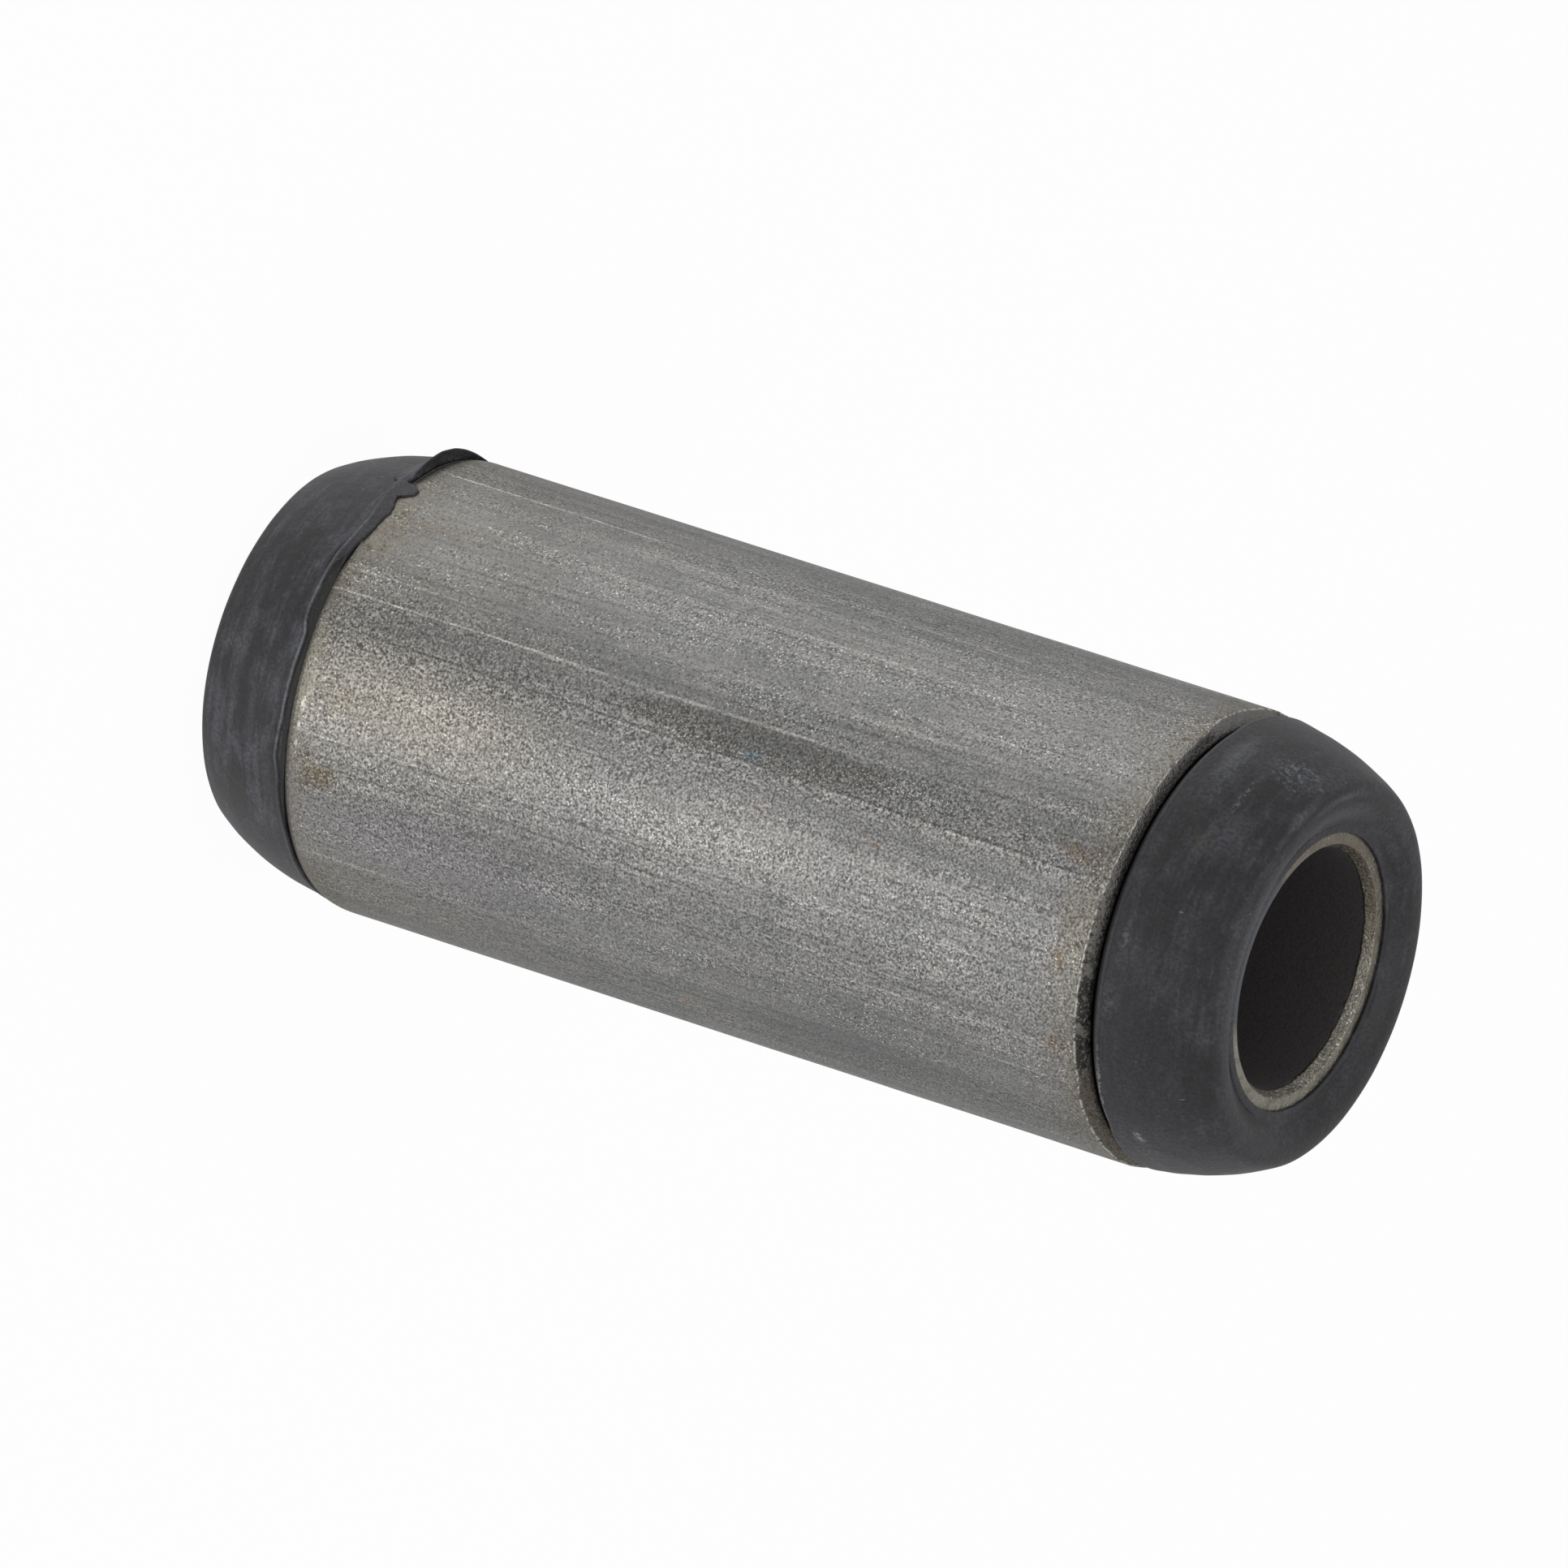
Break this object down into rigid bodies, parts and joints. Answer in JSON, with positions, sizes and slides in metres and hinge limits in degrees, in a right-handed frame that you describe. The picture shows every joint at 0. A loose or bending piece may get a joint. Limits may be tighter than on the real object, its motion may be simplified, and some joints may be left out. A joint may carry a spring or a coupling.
{
  "type": "rubber metal bush",
  "caption": "Bonded rubber-metal bush: steel outer sleeve, rubber bulging past both ends, open steel inner sleeve for a spring pin.",
  "frame": {"origin": "centre of the lower rubber ring that the bush stands on, on its axis", "axes": "+Z along the axis from the end with the moulding flash to the plain end; the flash flap lies towards -X, the skin of flash and its tongue between -X and -Y"},
  "size_m": [0.058, 0.057, 0.1447],
  "materials": {
    "outer_steel": "matte drawn steel, finely pitted, faint rust at the ends",
    "rubber": "matte moulded rubber with a pale bloom",
    "inner_steel": "dull machined steel"
  },
  "bodies": {
    "root": {"outer_sleeve": "outer_steel", "rubber_body": "rubber", "inner_sleeve": "inner_steel"}
  },
  "joints": []
}
